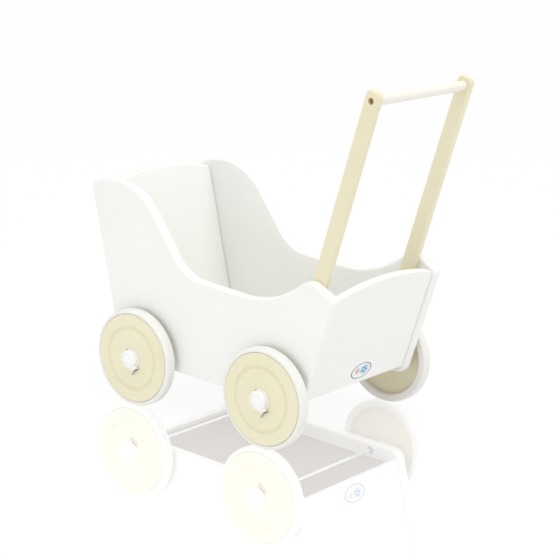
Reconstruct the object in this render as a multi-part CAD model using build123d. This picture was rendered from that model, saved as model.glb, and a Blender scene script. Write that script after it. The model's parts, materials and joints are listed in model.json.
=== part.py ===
"""Wooden doll pram: a panelled tub on four spinning wheels, with a fixed push handle.

Millimetres. +X is forward (the head end leads), +Y is left, +Z is up, and the floor is Z = 0.
The outlines are drawn with X measured from the rear axle. Every piece is then moved back by
middle_x, so that the origin is the centre of the footprint at floor level.
"""
from build123d import *
from math import cos, radians, sin, tan
import os

# ---- driving dimensions -----------------------------------------------------------------
# wheels and axles
wheel_d = 160.0             # over the tyre
wheelbase = 275.0
axle_d = 6.0
disc_d = 145.2              # painted board disc inside the tyre
disc_t = 12.0
disc_face_y = 167.0         # outer face of the left discs
tyre_w = 18.5
disc_proud = 0.5            # disc face stands this far out of the tyre
tyre_shoulder = 5.6
tyre_lip_d = 133.0          # opening of the lip behind the disc
rim_gap = 0.6               # open joint between disc and tyre, at the outer face
rim_gap_depth = 4.0
groove_d = 101.6            # ring groove in the disc face
groove_w = 6.0
groove_depth = 2.4
bush_d = 12.0
run_gap = 0.075             # radial running clearance of the hub bush on the axle
side_gap = 0.3              # axial play on each side of a wheel
spacer_d = 14.0
washer_d = 34.0
washer_t = 1.6
cap_d = 31.0
dome_h = 2.6                # rise of the cap's centre dome above its step
cap_brim_h = 2.6
boss_w = 12.5               # boss on the cap that the split pin passes through
boss_t = 4.4
boss_reach = 19.5           # from the axle's centre line
pin_d = 2.2                 # split pin wire, both legs together
pin_tilt = 30.0             # lean of the split pins from vertical, degrees

# tub
side_t = 18.0               # side panels
end_t = 12.0                # head and rear panels
tub_w = 277.0               # over the side panels
skirt_z = 67.5              # lower edge of the side panels
rear_lean = 16.0            # degrees from vertical
head_lean = 14.8
rear_inset = 3.5            # end panel faces lie this far inside the side panel edges
head_inset = 12.5
end_skirt_z = 81.0          # lower edge of the end panels
edge_r = 4.0                # rounding of the side panel edges
end_edge_r = 3.0
end_corner_r = 9.0          # upper corners of the end panels
joint_gap = 0.4             # open joint between end panels and side panels, each side
board_t = 3.0
board_z = 92.0              # underside of the bottom board
board_groove = 4.0          # depth of the grooves that hold the board
dowel_d = 8.0
dowel_l = 30.0

# handle
upright_w = 25.0
upright_t = 12.0
upright_lean = 15.5         # degrees from vertical
upright_edge_r = 3.0
upright_top_r = 9.0
upright_foot_z = 100.0      # centre of the lower end
upright_over_hole = 15.5    # from the grip axis to the rounded top
grip_x = -143.5             # grip axis, from the rear axle
grip_z = 550.3
grip_d = 16.0
grip_hole_d = 10.0
grip_hole_depth = 7.0

# label
label_w = 54.0
label_h = 30.0
label_t = 0.3
label_y = 0.0
label_z = 103.1

# ---- derived dimensions -----------------------------------------------------------------
axle_z = wheel_d / 2
half_w = tub_w / 2
inner_y = half_w - side_t
middle_x = 121.1            # centre of the footprint, from the rear axle
rear_foot_x = -55.3         # rear lower corner of the side panels, before rounding
head_foot_x = 328.4         # front lower corner of the side panels, before rounding
washer_y = disc_face_y + side_gap
cap_y = washer_y + washer_t
pin_y = cap_y + 1.7
axle_end_y = cap_y + 9.0

# side panel outline: corner X, Z and rounding radius, counter-clockwise seen from the right
side_corners = [
    (rear_foot_x, skirt_z, 18),
    (head_foot_x, skirt_z, 18),
    (head_foot_x + 274.7 * tan(radians(head_lean)), 342.2, 8),
    (387.2, 352.8, 42),
    (302.2, 370.2, 110),    # hood hump
    (191.9, 228.5, 70),     # foot of the swoop
    (17.8, 220.3, 170),     # low waist
    (-60.0, 274.7, 20),     # rear shoulder
    (rear_foot_x - 184.0 * tan(radians(rear_lean)), 251.5, 10),
]


# ---- helpers ----------------------------------------------------------------------------
def rounded_face(corners):
    """Closed outline with its own rounding radius at each corner (X, Y, radius)."""
    face = make_face(Polyline([(x, y) for x, y, r in corners], close=True))
    for x, y, r in corners:
        corner = face.vertices().sort_by_distance((x, y, 0))[0]
        face = fillet(corner, r)
    return face


def upright_slab(face, outer_y, thickness):
    """Stand an X-Z outline up and give it thickness inwards from outer_y."""
    return Pos(0, outer_y, 0) * Rot(90, 0, 0) * extrude(face, thickness)


def soften(solid, axis, radius):
    """Round the edges of both flat faces of a slab whose faces look along the axis."""
    faces = solid.faces().filter_by(axis)
    return fillet(faces.edges(), radius)


def rod(diameter, y0, y1, x=0.0, z=0.0):
    """Round bar along Y."""
    length = y1 - y0
    return Pos(x, (y0 + y1) / 2, z) * Rot(90, 0, 0) * Cylinder(diameter / 2, length)


def tube(outer_d, inner_d, y0, y1, x=0.0, z=0.0):
    """Round sleeve along Y."""
    return rod(outer_d, y0, y1, x, z) - rod(inner_d, y0 - 1, y1 + 1, x, z)


def mirrored(shape):
    """The same piece on the right-hand side."""
    return mirror(shape, Plane.XZ)


def cut(solid, tools):
    """Take a list of solids away from a solid."""
    for tool in tools:
        solid = solid - tool
    return solid


def write(name, shape):
    """Write one node, moved so that the origin is the centre of the footprint."""
    export_step(Pos(-middle_x, 0, 0) * shape, f"parts/{name}.step")


# ---- end panel planes -------------------------------------------------------------------
# Local X runs across the tub, local Y runs up the slope from skirt level, and local Z looks in.
rear_plane = Plane(
    origin=(rear_foot_x + rear_inset / cos(radians(rear_lean)), 0, skirt_z),
    x_dir=(0, 1, 0),
    z_dir=(cos(radians(rear_lean)), 0, sin(radians(rear_lean))),
)
head_plane = Plane(
    origin=(head_foot_x - head_inset / cos(radians(head_lean)), 0, skirt_z),
    x_dir=(0, -1, 0),
    z_dir=(-cos(radians(head_lean)), 0, sin(radians(head_lean))),
)


def end_panel(plane, lean, top_mid_z, top_side_z):
    """Leaning panel with an arched top, between the side panels."""
    slope = cos(radians(lean))
    foot = (end_skirt_z - skirt_z) / slope
    mid = (top_mid_z - skirt_z) / slope
    side = (top_side_z - skirt_z) / slope
    half = inner_y - joint_gap
    outline = Polyline([(-half, side), (-half, foot), (half, foot), (half, side)])
    outline += ThreePointArc((half, side), (0, mid), (-half, side))
    face = make_face(outline)
    face = fillet(face.vertices().group_by(Axis.Y)[-1], end_corner_r)
    slab = extrude(face, end_t)
    long_edges = slab.edges().filter_by(lambda e: abs((e @ 0.5).Y - foot) > 1 and e.length > 12)
    long_edges = [e for e in long_edges if abs((e @ 0.5).X) < half - 0.5]
    slab = fillet(long_edges, end_edge_r)
    foot_edges = [e for e in slab.edges() if abs((e @ 0.5).Y - foot) < 0.01 and e.length > 100]
    slab = fillet(foot_edges, end_edge_r * 0.6)
    return plane * slab


def joint_dowels(plane, heights):
    """Dowels across the two corner joints of one end panel, at the given heights up the slope."""
    dowels = []
    for height in heights:
        spot = plane * Pos(0, height, end_t / 2)
        x, z = spot.position.X, spot.position.Z
        left = rod(dowel_d, inner_y - 20, inner_y - 20 + dowel_l, x, z)
        dowels += [left, mirrored(left)]
    return dowels


# ---- handle -----------------------------------------------------------------------------
def along_upright(distance):
    """Point (x, z) on the upright's centre line, measured down from the grip axis."""
    lean = radians(upright_lean)
    return grip_x + distance * sin(lean), grip_z - distance * cos(lean)


def left_upright_blank():
    """Leaning bar with a rounded top, against the inner face of the left side panel."""
    foot = (grip_z - upright_foot_z) / cos(radians(upright_lean))
    top = upright_over_hole
    w = upright_w / 2
    face = rounded_face([(-w, -foot, 2), (w, -foot, 2), (w, top, upright_top_r), (-w, top, upright_top_r)])
    bar = soften(extrude(face, upright_t), Axis.Z, upright_edge_r)
    lean = Rot(0, -upright_lean, 0)
    return Pos(grip_x, inner_y, grip_z) * lean * Rot(90, 0, 0) * bar


def upright_screw(distance):
    """Countersunk wood screw from inside the tub, through the upright, into the side panel."""
    x, z = along_upright(distance)
    face_y = inner_y - upright_t
    shank = rod(4, face_y, face_y + 26, x, z)
    head = Pos(x, face_y + 1.5, z) * Rot(-90, 0, 0) * Cone(4, 2, 3)
    slot = Pos(x, face_y, z) * Box(7, 1.6, 1.1)
    return shank + head, slot


def grip_screw():
    """Pan head screw in the left upright's counterbore, into the end of the grip."""
    seat = inner_y - grip_hole_depth
    head = rod(8.4, seat, seat + 2.6, grip_x, grip_z)
    head = fillet(head.edges().group_by(Axis.Y)[-1], 1.2)
    drive = Pos(grip_x, seat + 2.6, grip_z) * (Box(4.6, 2.4, 1.0) + Box(1.0, 2.4, 4.6))
    shank = rod(4.5, inner_y - upright_t - 24, seat, grip_x, grip_z)
    return head + shank - drive


# ---- wheel ------------------------------------------------------------------------------
def wheel_disc():
    """Painted disc with a shallow ring groove, left side, centred on the Y axis."""
    r = disc_d / 2
    back = disc_face_y - disc_t
    blank = tube(disc_d, bush_d, back, disc_face_y)
    rims = [e for e in blank.edges().filter_by(GeomType.CIRCLE) if abs(e.radius - r) < 0.01]
    blank = fillet(rims, 1.0)
    ring = Pos(groove_d / 2, disc_face_y, 0) * Ellipse(groove_w / 2, groove_depth)
    return blank - revolve(ring, Axis.Y)


def tyre():
    """Soft tyre: round shouldered band with a lip behind the disc."""
    r, rim, lip = wheel_d / 2, disc_d / 2, tyre_lip_d / 2
    face = disc_face_y - disc_proud
    back = face - tyre_w
    seat = disc_face_y - disc_t
    gap, gap_y = rim + rim_gap, disc_face_y - rim_gap_depth
    outline = Polyline([(gap + 0.6, face), (gap, face - 0.6), (gap, gap_y), (rim, gap_y), (rim, seat),
                        (lip, seat), (lip, back + 1.5), (lip + 1.5, back), (r - 4, back)])
    outline += RadiusArc((r - 4, back), (r, back + 4), -4)
    outline += Line((r, back + 4), (r, face - tyre_shoulder))
    outline += RadiusArc((r, face - tyre_shoulder), (r - tyre_shoulder, face), -tyre_shoulder)
    outline += Line((r - tyre_shoulder, face), (gap + 0.6, face))
    return revolve(make_face(outline), Axis.Y)


def hub_cap():
    """Domed cap on the axle end, with a brim, a stepped dome and a boss for the split pin."""
    r, y = cap_d / 2, cap_y
    outline = Polyline([(0, axle_end_y), (axle_d / 2, axle_end_y), (axle_d / 2, y), (r - 1.2, y),
                        (r - 1.2, y + 1.0), (r, y + cap_brim_h), (r, y + 5.2)])
    outline += ThreePointArc((r, y + 5.2), (r - 1.6, y + 8.6), (r - 4.6, y + 10.4))
    outline += Polyline([(r - 4.6, y + 10.4), (r - 5.4, y + 9.2), (r - 6.5, y + 9.9)])
    dome_r = ((r - 6.5) ** 2 + dome_h ** 2) / (2 * dome_h)
    outline += RadiusArc((r - 6.5, y + 9.9), (0, y + 9.9 + dome_h), -dome_r)
    outline += Line((0, y + 9.9 + dome_h), (0, axle_end_y))
    cap = revolve(make_face(outline), Axis.Y)
    boss = Pos(0, y + boss_t / 2, -boss_reach + 4) * Box(boss_w, boss_t, 8)
    boss = fillet(boss.edges().filter_by(Axis.Y).group_by(Axis.Z)[0], 2.0)
    boss = fillet(boss.faces().sort_by(Axis.Y)[-1].edges(), 0.8)
    hole = Pos(0, pin_y, 0) * Cylinder(pin_d / 2, cap_d + 30)
    eye_notch = Pos(0, pin_y, r) * Box(3.4, 2.4, 3.0)
    return Rot(0, pin_tilt, 0) * (cap + boss - hole - eye_notch)


def split_pin():
    """Split pin through cap and axle: small eye above, two legs opened along the disc below."""
    eye_z = cap_d / 2 + 0.1
    top = eye_z - 0.85
    fork = -(boss_reach + 1.4)
    leg_r = pin_d * 0.36
    shank = Pos(0, pin_y, (top + fork) / 2) * Cylinder(pin_d / 2, top - fork)
    eye = Pos(0, pin_y, eye_z) * Rot(90, 0, 0) * Torus(0.85, 0.5)
    pin = shank + eye + Pos(0, pin_y, fork) * Sphere(pin_d / 2)
    for dx, dz in ((8.9, -4.0), (-8.0, -0.2)):
        reach = Vector(dx, 0, dz)
        leg = Plane(origin=(0, pin_y, fork), z_dir=reach) * Cylinder(
            leg_r, reach.length, align=(Align.CENTER, Align.CENTER, Align.MIN))
        pin = pin + leg + Pos(dx, pin_y, fork + dz) * Sphere(leg_r)
    return Rot(0, pin_tilt, 0) * pin


def axle():
    """Steel rod with a cross hole near each end and chamfered tips."""
    bar = rod(axle_d, -axle_end_y, axle_end_y)
    bar = chamfer(bar.edges().filter_by(GeomType.CIRCLE), 0.6)
    hole = Pos(0, pin_y, 0) * Cylinder(pin_d / 2, axle_d + 4)
    bar = bar - hole - mirrored(hole)
    return Rot(0, pin_tilt, 0) * bar


# ---- assembly ---------------------------------------------------------------------------
os.makedirs("parts", exist_ok=True)

# tub
rear = end_panel(rear_plane, rear_lean, 264.0, 249.0)
head = end_panel(head_plane, head_lean, 354.6, 340.1)
dowels = joint_dowels(rear_plane, (45, 100, 155)) + joint_dowels(head_plane, (45, 145, 245))

board_x0 = (rear_plane * Pos(0, (board_z - skirt_z), end_t)).position.X - board_groove
board_x1 = (head_plane * Pos(0, (board_z - skirt_z), end_t)).position.X + board_groove
board_len = board_x1 - board_x0
board = Pos((board_x0 + board_x1) / 2, 0, board_z + board_t / 2)
board = board * Box(board_len, 2 * (inner_y + board_groove), board_t)

axle_spots = {"rear": 0.0, "front": wheelbase}
side = soften(upright_slab(rounded_face(side_corners), half_w, side_t), Axis.Y, edge_r)
bushes = []
for x in axle_spots.values():
    bushes.append(tube(bush_d, axle_d, inner_y, half_w, x, axle_z))
    side = side - rod(bush_d, inner_y - 1, half_w + 1, x, axle_z)
side = cut(side, [board] + [d for d in dowels if d.center().Y > 0])

# handle
upright = left_upright_blank()
upright = upright - rod(grip_hole_d, inner_y - grip_hole_depth, inner_y + 1, grip_x, grip_z)
upright = upright - rod(4.5, inner_y - upright_t - 1, inner_y, grip_x, grip_z)
upright_screws = []
for distance in (345, 430):
    screw, slot = upright_screw(distance)
    upright = upright - screw
    side = side - screw
    upright_screws += [screw - slot, mirrored(screw - slot)]
grip_end = inner_y - upright_t
left_screw = grip_screw()
grip = rod(grip_d, -grip_end, grip_end, grip_x, grip_z)
grip = cut(grip, [left_screw, mirrored(left_screw)])

write("left_side_panel", side)
write("right_side_panel", mirrored(side))
write("head_panel", cut(head, dowels + [board]))
write("rear_panel", cut(rear, dowels + [board]))
write("bottom_board", board)
write("panel_dowels", Compound(dowels))
write("left_upright", upright)
write("right_upright", mirrored(upright))
write("upright_screws", Compound(upright_screws))
write("grip_bar", grip)
write("grip_screws", Compound([left_screw, mirrored(left_screw)]))
write("axle_bushes", Compound(bushes + [mirrored(b) for b in bushes]))

sticker = extrude(Ellipse(label_w / 2, label_h / 2), -label_t)
sticker_up = (label_z - skirt_z) / cos(radians(rear_lean))
write("rear_label", rear_plane * Pos(label_y, sticker_up, 0) * sticker)

# running gear
wheel_pieces = {
    "wheel_disc": wheel_disc(),
    "tyre": tyre(),
    "hub_bush": tube(bush_d, axle_d + 2 * run_gap, disc_face_y - disc_t, disc_face_y),
    "wheel_spacer": tube(spacer_d, axle_d, half_w, disc_face_y - disc_t - side_gap),
    "hub_washer": tube(washer_d, axle_d, washer_y, cap_y),
    "hub_cap": hub_cap(),
    "split_pin": split_pin(),
}
for end, x in axle_spots.items():
    spot = Pos(x, 0, axle_z)
    write(f"{end}_axle", spot * axle())
    for name, piece in wheel_pieces.items():
        write(f"{end}_left_{name}", spot * piece)
        write(f"{end}_right_{name}", spot * mirrored(piece))
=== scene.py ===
"""Looks of the wooden doll pram: its materials, and the floor, light and camera around it. Metres."""
import json
import math

import bpy
from mathutils import Matrix, Vector


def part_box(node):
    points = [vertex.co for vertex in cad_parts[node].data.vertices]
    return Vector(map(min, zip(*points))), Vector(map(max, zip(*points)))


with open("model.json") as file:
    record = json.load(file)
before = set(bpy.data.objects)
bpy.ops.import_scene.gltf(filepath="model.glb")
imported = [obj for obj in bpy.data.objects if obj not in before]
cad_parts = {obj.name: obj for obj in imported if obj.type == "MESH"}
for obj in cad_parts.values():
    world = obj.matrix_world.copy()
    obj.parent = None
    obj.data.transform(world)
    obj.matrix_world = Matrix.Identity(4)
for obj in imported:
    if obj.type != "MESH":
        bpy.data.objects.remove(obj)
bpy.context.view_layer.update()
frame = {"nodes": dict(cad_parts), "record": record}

nodes = frame["nodes"]
slot_of = {part["node"]: part["material_slot"] for part in frame["record"]["subparts"]}

UPRIGHT_LEAN = math.radians(15.5)
REAR_LEAN = math.radians(16.0)
AXLE_HEIGHT = 0.08
TREAD_FROM, TREAD_TO = 0.0785, 0.0798   # radius over which the tyre's side becomes its tread
TYRE_SEAM = 0.15725         # how far each tyre's middle is from the pram's middle
TYRE_SEAM_HALF = 0.0004     # half the parting line's width
TYRE_RING_RATE = 9000       # radians of the moulded rings per metre of radius
DISC_BACK = 0.1555          # a disc's surface nearer the pram's middle than this gets painted shade, a darker tone standing in for the shadow on the disc's back
DISC_BACK_FADE = 0.0005
LABEL_RING = 0.90           # the printed ring's radius, as a share of the label's


# ---- node tree helper -------------------------------------------------------------------
class Tree:
    """Builds one material's node tree. Methods return output sockets."""

    def __init__(self, name):
        self.material = bpy.data.materials.new(name)
        self.material.use_nodes = True
        self.tree = self.material.node_tree
        self.tree.nodes.clear()
        coordinates = self.add("ShaderNodeTexCoord")
        self.place = coordinates.outputs["Object"]

    def add(self, kind, **settings):
        node = self.tree.nodes.new(kind)
        for key, value in settings.items():
            setattr(node, key, value)
        return node

    def put(self, socket, value):
        """Links a socket to an output, or sets its value."""
        if isinstance(value, bpy.types.NodeSocket):
            self.tree.links.new(value, socket)
        else:
            socket.default_value = value

    def maths(self, operation, a, b=0.0):
        node = self.add("ShaderNodeMath", operation=operation)
        self.put(node.inputs[0], a)
        self.put(node.inputs[1], b)
        return node.outputs[0]

    def vector(self, operation, a, b):
        node = self.add("ShaderNodeVectorMath", operation=operation)
        self.put(node.inputs[0], a)
        self.put(node.inputs[1], b)
        return node.outputs[1 if operation in ("DOT_PRODUCT", "LENGTH") else 0]

    def stretched(self, scale, turn=0.0):
        """Object coordinates turned about Y and scaled axis by axis."""
        node = self.add("ShaderNodeMapping")
        self.put(node.inputs["Vector"], self.place)
        node.inputs["Rotation"].default_value = (0, turn, 0)
        node.inputs["Scale"].default_value = scale
        return node.outputs[0]

    def noise(self, scale, detail=3.0, roughness=0.5, at=None, distortion=0.0):
        node = self.add("ShaderNodeTexNoise")
        self.put(node.inputs["Vector"], at or self.place)
        node.inputs["Scale"].default_value = scale
        node.inputs["Detail"].default_value = detail
        node.inputs["Roughness"].default_value = roughness
        node.inputs["Distortion"].default_value = distortion
        return node.outputs[0]

    def span(self, value, low, high, to_low=0.0, to_high=1.0):
        """Maps low..high to to_low..to_high and holds the ends."""
        node = self.add("ShaderNodeMapRange", clamp=True)
        for index, number in enumerate((value, low, high, to_low, to_high)):
            self.put(node.inputs[index], number)
        return node.outputs[0]

    def put_colour(self, socket, value):
        """Links a socket to an output, or sets its colour from red, green and blue."""
        self.put(socket, value if isinstance(value, bpy.types.NodeSocket) else (*value, 1))

    def blend(self, factor, a, b):
        """Mixes two colours."""
        node = self.add("ShaderNodeMix", data_type="RGBA")
        self.put(node.inputs[0], factor)
        self.put_colour(node.inputs[6], a)
        self.put_colour(node.inputs[7], b)
        return node.outputs[2]

    def bump(self, height, distance, strength=1.0, under=None):
        node = self.add("ShaderNodeBump")
        self.put(node.inputs["Height"], height)
        node.inputs["Distance"].default_value = distance
        node.inputs["Strength"].default_value = strength
        if under:
            self.put(node.inputs["Normal"], under)
        return node.outputs[0]

    def surface(self, colour, roughness, normal=None, **fixed):
        """Principled shader. The fixed values go straight onto its sockets."""
        shader = self.add("ShaderNodeBsdfPrincipled")
        self.put_colour(shader.inputs["Base Color"], colour)
        self.put(shader.inputs["Roughness"], roughness)
        if normal:
            self.put(shader.inputs["Normal"], normal)
        for key, value in fixed.items():
            shader.inputs[key.replace("_", " ")].default_value = value
        end = self.add("ShaderNodeOutputMaterial")
        self.put(end.inputs[0], shader.outputs[0])
        return self.material


# ---- materials --------------------------------------------------------------------------
def painted(name, colour, shade, grain_scale, turn=0.0, roughness=0.34, painted_back_shade=None):
    """Sprayed satin paint on board: faint clouding, orange peel, and a trace of grain under it.

    A wheel disc's back can get painted shade: a darker tone that stands in for the shadow it lies in.
    """
    t = Tree(name)
    clouds = t.noise(9, 4, 0.55)
    flecks = t.noise(900, 2, 0.6)
    mixed = t.blend(t.span(clouds, 0.35, 0.68), colour, shade)
    mixed = t.blend(t.span(flecks, 0.62, 0.78, 0, 0.35), mixed, shade)
    grain = t.noise(1, 4, 0.6, t.stretched(grain_scale, turn), 0.3)
    mixed = t.blend(t.span(grain, 0.55, 0.8, 0, 0.3), mixed, shade)
    # painted shade: darkens a wheel disc's back to stand in for the shadow there
    if painted_back_shade:
        side = t.maths("ABSOLUTE", t.vector("DOT_PRODUCT", t.place, (0, 1, 0)))
        mixed = t.blend(t.span(side, DISC_BACK, DISC_BACK + DISC_BACK_FADE, 1, 0), mixed, painted_back_shade)
    normal = t.bump(t.noise(420, 2, 0.5), 0.00003, 0.6)
    normal = t.bump(grain, 0.00004, 0.5, normal)
    rough = t.span(t.noise(55, 3, 0.6), 0.3, 0.7, roughness - 0.05, roughness + 0.07)
    return t.surface(mixed, rough, normal, Coat_Weight=0.25, Coat_Roughness=0.22)


def lacquered(name, colour, shade, streak_scale):
    """Gloss lacquer on a turned bar: faint streaks along it and no relief."""
    t = Tree(name)
    streaks = t.noise(1, 3, 0.5, t.stretched(streak_scale))
    mixed = t.blend(t.span(streaks, 0.35, 0.7), colour, shade)
    return t.surface(mixed, 0.26, Coat_Weight=0.4, Coat_Roughness=0.15)


def hardboard():
    """Brown fibre board, primed white on its upper face."""
    t = Tree("hardboard")
    fibre = t.noise(260, 6, 0.75, distortion=1.2)
    tone = t.noise(14, 3, 0.5)
    brown = t.blend(t.span(fibre, 0.3, 0.7), (0.21, 0.135, 0.09), (0.36, 0.25, 0.17))
    brown = t.blend(t.span(tone, 0.35, 0.7, 0, 0.45), brown, (0.27, 0.18, 0.125))
    primed = t.blend(t.span(fibre, 0.4, 0.7), (0.84, 0.84, 0.80), (0.78, 0.775, 0.73))
    facing = t.add("ShaderNodeNewGeometry").outputs["Normal"]
    up = t.vector("DOT_PRODUCT", facing, (0, 0, 1))
    colour = t.blend(t.span(up, 0.4, 0.6), brown, primed)
    normal = t.bump(fibre, 0.00012, 0.6)
    return t.surface(colour, t.span(fibre, 0.3, 0.7, 0.55, 0.8), normal)


def raw_wood():
    """Beech dowel with grain along Y."""
    t = Tree("dowel_wood")
    grain = t.noise(1, 5, 0.6, t.stretched((700, 25, 700)), 0.4)
    colour = t.blend(t.span(grain, 0.3, 0.7), (0.60, 0.43, 0.26), (0.72, 0.55, 0.36))
    return t.surface(colour, 0.6, t.bump(grain, 0.0001, 0.5))


def tyre(name, axle_x):
    """Soft white tyre: fine moulded rings, a parting line round the tread, and light scuffs."""
    t = Tree(name)
    from_axle = t.vector("SUBTRACT", t.place, (axle_x, 0, AXLE_HEIGHT))
    flat = t.vector("MULTIPLY", from_axle, (1, 0, 1))
    radius = t.vector("LENGTH", flat, (0, 0, 0))
    rings = t.maths("SINE", t.maths("MULTIPLY", radius, TYRE_RING_RATE))
    split = t.add("ShaderNodeSeparateXYZ")
    t.put(split.inputs[0], t.place)
    across = t.maths("ABSOLUTE", split.outputs[1])
    off_seam = t.maths("ABSOLUTE", t.maths("SUBTRACT", across, TYRE_SEAM))
    seam = t.span(off_seam, TYRE_SEAM_HALF / 4, TYRE_SEAM_HALF, 1, 0)
    tread = t.span(radius, TREAD_FROM, TREAD_TO)
    mottle = t.noise(160, 4, 0.6)
    scuff = t.noise(1, 5, 0.7, t.stretched((60, 240, 60)), 0.6)
    colour = t.blend(t.span(mottle, 0.35, 0.7), (0.90, 0.897, 0.86), (0.88, 0.872, 0.825))
    worn = t.maths("MULTIPLY", t.span(scuff, 0.55, 0.8, 0, 0.25), tread)
    colour = t.blend(worn, colour, (0.70, 0.69, 0.645))
    height = t.maths("ADD", t.maths("MULTIPLY", rings, 0.1), t.maths("MULTIPLY", mottle, 0.2))
    height = t.maths("ADD", height, t.maths("MULTIPLY", t.maths("MULTIPLY", seam, tread), 1.5))
    normal = t.bump(height, 0.00006, 0.6)
    return t.surface(colour, t.span(mottle, 0.3, 0.7, 0.5, 0.64), normal)


def moulded(name, colour, shade, roughness, fixed):
    """Injection moulded plastic: fine spark texture and a slight flow mottle."""
    t = Tree(name)
    flow = t.noise(120, 3, 0.6, distortion=1.5)
    spark = t.noise(2600, 2, 0.5)
    mixed = t.blend(t.span(flow, 0.35, 0.7), colour, shade)
    normal = t.bump(spark, 0.000012, 0.5)
    rough = t.span(flow, 0.3, 0.7, roughness - 0.04, roughness + 0.06)
    return t.surface(mixed, rough, normal, **fixed)


def steel(name, colour, shade, scale, roughness):
    """Drawn wire or rod: lines along the axis with the smallest scale, and a few dull spots."""
    t = Tree(name)
    lines = t.noise(1, 4, 0.6, t.stretched(scale))
    spots = t.noise(220, 4, 0.7)
    mixed = t.blend(t.span(lines, 0.3, 0.7), colour, shade)
    mixed = t.blend(t.span(spots, 0.6, 0.75, 0, 0.5), mixed, tuple(0.6 * c for c in shade))
    rough = t.span(spots, 0.35, 0.75, roughness, roughness + 0.22)
    return t.surface(mixed, rough, t.bump(lines, 0.000006, 0.5), Metallic=1.0)


def printed_label():
    """Oval sticker: white film with a dark printed ring, a blue flower and a pink one."""
    t = Tree("label_print")
    low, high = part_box("rear_label")
    from_middle = t.vector("SUBTRACT", t.place, tuple((low + high) / 2))
    across = t.vector("DOT_PRODUCT", from_middle, (0, -1, 0))
    up = t.vector("DOT_PRODUCT", from_middle, (-math.sin(REAR_LEAN), 0, math.cos(REAR_LEAN)))
    half_w, half_h = (high.y - low.y) / 2, (high.z - low.z) / 2 / math.cos(REAR_LEAN)

    def reach(x, y, rx, ry):
        """Distance from (x, y) in units of the ellipse rx by ry, and the angle round it."""
        u = t.maths("DIVIDE", t.maths("SUBTRACT", across, x), rx)
        v = t.maths("DIVIDE", t.maths("SUBTRACT", up, y), ry)
        squares = t.maths("ADD", t.maths("MULTIPLY", u, u), t.maths("MULTIPLY", v, v))
        return t.maths("SQRT", squares), t.maths("ARCTAN2", v, u)

    def petals(x, y, size, count, depth, turn):
        """1 inside a flower outline, 0 outside."""
        far, angle = reach(x, y, size, size)
        wave = t.maths("COSINE", t.maths("ADD", t.maths("MULTIPLY", angle, count), turn))
        edge = t.maths("ADD", 1 - depth, t.maths("MULTIPLY", wave, depth))
        return t.span(t.maths("SUBTRACT", far, edge), -0.06, 0.06, 1, 0)

    ink = t.noise(1500, 3, 0.6)
    colour = t.blend(t.span(ink, 0.4, 0.7), (0.90, 0.91, 0.91), (0.86, 0.87, 0.88))
    wash, _ = reach(0.0075, 0.0005, 0.0125, 0.0095)
    colour = t.blend(t.span(wash, 0.75, 1.05, 0.75, 0), colour, (0.42, 0.66, 0.86))
    colour = t.blend(petals(0.0065, 0.0008, 0.0078, 5, 0.3, 0.6), colour, (0.05, 0.21, 0.50))
    colour = t.blend(petals(-0.0105, 0.0012, 0.0062, 4, 0.2, 0.3), colour, (0.80, 0.42, 0.40))
    heart, _ = reach(0.0065, 0.0008, 0.0021, 0.0021)
    colour = t.blend(t.span(heart, 0.9, 1.1, 1, 0), colour, (0.80, 0.86, 0.92))
    rim, _ = reach(0, 0, half_w, half_h)
    ring = t.span(t.maths("ABSOLUTE", t.maths("SUBTRACT", rim, LABEL_RING)), 0.028, 0.045, 1, 0)
    colour = t.blend(ring, colour, (0.035, 0.045, 0.065))
    rough = t.span(ink, 0.3, 0.7, 0.22, 0.3)
    return t.surface(colour, rough, t.bump(ink, 0.00001, 0.4), Coat_Weight=0.4, Coat_Roughness=0.1)


# ---- one look for each material slot ----------------------------------------------------
WHITE, WHITE_SHADE = (0.950, 0.952, 0.926), (0.935, 0.935, 0.903)
CREAM, CREAM_SHADE = (0.885, 0.838, 0.612), (0.86, 0.81, 0.575)
# painted shade: the darker tone given to the wheel discs' backs in place of their shadow
DISC_BACK_PAINTED_SHADE = (0.81, 0.765, 0.55)
UPRIGHT_CREAM, UPRIGHT_CREAM_SHADE = (0.86, 0.80, 0.58), (0.83, 0.765, 0.54)
IVORY, IVORY_SHADE = (0.88, 0.855, 0.775), (0.875, 0.845, 0.755)
PLASTIC_WHITE, PLASTIC_WHITE_SHADE = (0.965, 0.965, 0.95), (0.95, 0.95, 0.93)
PLASTIC_BLACK, PLASTIC_BLACK_SHADE = (0.035, 0.033, 0.03), (0.05, 0.048, 0.045)
BRIGHT_STEEL, BRIGHT_STEEL_SHADE = (0.86, 0.87, 0.88), (0.76, 0.77, 0.78)
DULL_STEEL, DULL_STEEL_SHADE = (0.34, 0.32, 0.28), (0.22, 0.20, 0.17)
BROWN_STEEL, BROWN_STEEL_SHADE = (0.74, 0.47, 0.20), (0.50, 0.31, 0.14)

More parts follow.
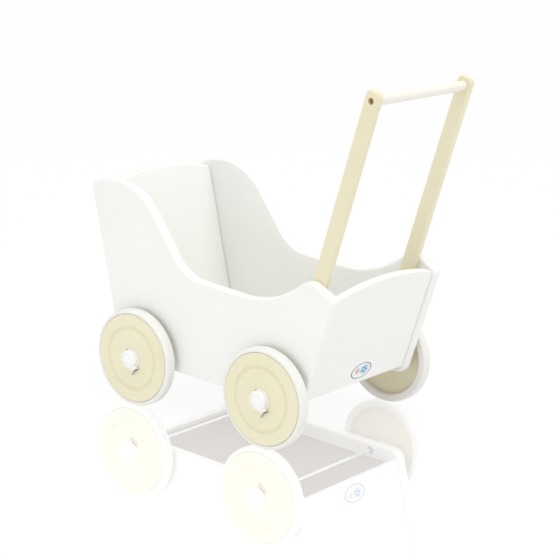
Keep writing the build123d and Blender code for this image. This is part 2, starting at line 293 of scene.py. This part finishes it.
translucent = {
    "Subsurface_Weight": 0.05,
    "Subsurface_Radius": (0.002, 0.002, 0.002),
    "Coat_Weight": 0.3,
    "Coat_Roughness": 0.12,
}
looks = {
    "tub_paint": painted("tub_paint_satin", WHITE, WHITE_SHADE, (18, 400, 260)),
    "cream_paint": painted("cream_paint_disc", CREAM, CREAM_SHADE, (120, 400, 120),
                           roughness=0.36, painted_back_shade=DISC_BACK_PAINTED_SHADE),
    "grip_paint": lacquered("grip_paint_gloss", IVORY, IVORY_SHADE, (140, 5, 140)),
    "hardboard": hardboard(),
    "dowel_wood": raw_wood(),
    "white_plastic": moulded("white_plastic_moulded", PLASTIC_WHITE, PLASTIC_WHITE_SHADE, 0.24,
                             translucent),
    "dark_plastic": moulded("dark_plastic_moulded", PLASTIC_BLACK, PLASTIC_BLACK_SHADE, 0.45, {}),
    "axle_steel": steel("axle_steel_drawn", BRIGHT_STEEL, BRIGHT_STEEL_SHADE, (1800, 12, 1800), 0.2),
    "pin_steel": steel("pin_steel_dull", DULL_STEEL, DULL_STEEL_SHADE, (1500, 1500, 200), 0.32),
    "screw_steel": steel("screw_steel_brown", BROWN_STEEL, BROWN_STEEL_SHADE, (900, 200, 900), 0.34),
    "label": printed_label(),
}
upright_look = painted("cream_paint_upright", UPRIGHT_CREAM, UPRIGHT_CREAM_SHADE, (330, 330, 12),
                       turn=UPRIGHT_LEAN)
tyre_looks = {}
for end in ("front", "rear"):
    low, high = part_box(f"{end}_axle")
    tyre_looks[end] = tyre(f"tyre_soft_{end}", (low.x + high.x) / 2)

for name, thing in nodes.items():
    if name.endswith("_tyre"):
        look = tyre_looks[name.split("_")[0]]
    elif name.endswith("_upright"):
        look = upright_look
    else:
        look = looks[slot_of[name]]
    thing.data.materials.clear()
    thing.data.materials.append(look)

# ---- stage ------------------------------------------------------------------------------
FLOOR_HALF = 30.0
FLOOR_GLOW = 1.03           # strength of the light that the floor gives off, which takes no shadow
FLOOR_GREY = 0.14           # tone of the matt layer, which does take shadow
FLOOR_MIRROR = 0.46         # share of the mirror in the floor's look
MIRROR_ROUGHNESS = 0.008

floor_mesh = bpy.data.meshes.new("floor")
corners = [(sx * FLOOR_HALF, sy * FLOOR_HALF, 0) for sx, sy in ((-1, -1), (1, -1), (1, 1), (-1, 1))]
floor_mesh.from_pydata(corners, [], [(0, 1, 2, 3)])
floor = bpy.data.objects.new("floor", floor_mesh)
bpy.context.scene.collection.objects.link(floor)

t = Tree("floor_acrylic")
end = t.add("ShaderNodeOutputMaterial")
glow = t.add("ShaderNodeEmission")
glow.inputs["Strength"].default_value = FLOOR_GLOW
matt = t.add("ShaderNodeBsdfDiffuse")
matt.inputs["Color"].default_value = (FLOOR_GREY, FLOOR_GREY, FLOOR_GREY, 1)
mirror = t.add("ShaderNodeBsdfGlossy")
mirror.inputs["Color"].default_value = (1, 1, 1, 1)
mirror.inputs["Roughness"].default_value = MIRROR_ROUGHNESS
both = t.add("ShaderNodeAddShader")
mixed = t.add("ShaderNodeMixShader")
mixed.inputs[0].default_value = FLOOR_MIRROR
t.put(both.inputs[0], glow.outputs[0])
t.put(both.inputs[1], matt.outputs[0])
t.put(mixed.inputs[1], both.outputs[0])
t.put(mixed.inputs[2], mirror.outputs[0])
t.put(end.inputs[0], mixed.outputs[0])
floor_mesh.materials.append(t.material)

# ---- light ------------------------------------------------------------------------------
SKY_STRENGTH = 0.81
SKY_FADE = ((0.35, 1.0), (0.95, 0.86))  # share of full brightness at two heights of the view direction

world = bpy.data.worlds.new("studio")
bpy.context.scene.world = world
world.use_nodes = True
sky = world.node_tree
facing = sky.nodes.new("ShaderNodeTexCoord").outputs["Generated"]
heights = sky.nodes.new("ShaderNodeSeparateXYZ")
fade = sky.nodes.new("ShaderNodeValToRGB")
for stop, (height, grey) in zip(fade.color_ramp.elements, SKY_FADE):
    stop.position = height
    stop.color = (grey, grey, grey, 1)
sky.links.new(facing, heights.inputs[0])
sky.links.new(heights.outputs[2], fade.inputs[0])
sky.links.new(fade.outputs[0], sky.nodes["Background"].inputs[0])
sky.nodes["Background"].inputs[1].default_value = SKY_STRENGTH


def softbox(name, spot, aim, size, power):
    """Rectangular area light. Only the key shows in glossy surfaces."""
    light = bpy.data.lights.new(name, "AREA")
    light.shape = "RECTANGLE"
    light.size, light.size_y = size
    light.energy = power
    lamp = bpy.data.objects.new(name, light)
    lamp.location = spot
    lamp.rotation_euler = (Vector(aim) - Vector(spot)).to_track_quat("-Z", "Y").to_euler()
    bpy.context.scene.collection.objects.link(lamp)
    lamp.visible_glossy = name == "key"


softbox("top", (-0.6, 0.1, 2.6), (0, 0, 0.2), (2.2, 2.2), 28)
softbox("key", (-2.3, -0.3, 1.2), (0, 0, 0.25), (1.6, 1.6), 3)
softbox("side", (-0.1, 1.5, 0.25), (0.02, 0.14, 0.12), (0.5, 0.4), 1.9)

# ---- camera -----------------------------------------------------------------------------
CAMERA_PLACE = Vector((-1.68, 2.0197, 0.9392))
CAMERA_RIGHT = Vector((-0.7639, -0.6443, 0.0371))
CAMERA_UP = Vector((0.1995, -0.1810, 0.9630))
CAMERA_BACK = Vector((-0.6137, 0.7431, 0.2668))
SENSOR_MM, LENS_MM = 36.0, 108.8

camera_data = bpy.data.cameras.new("camera")
camera_data.sensor_width = SENSOR_MM
camera_data.lens = LENS_MM
camera = bpy.data.objects.new("camera", camera_data)
turned = Matrix((CAMERA_RIGHT, CAMERA_UP, CAMERA_BACK)).transposed().to_quaternion().normalized()
camera.matrix_world = Matrix.Translation(CAMERA_PLACE) @ turned.to_matrix().to_4x4()
bpy.context.scene.collection.objects.link(camera)
bpy.context.scene.camera = camera

settings = bpy.context.scene.view_settings
settings.view_transform = "Standard"
settings.look = "None"
settings.exposure = 0.0
settings.gamma = 1.0
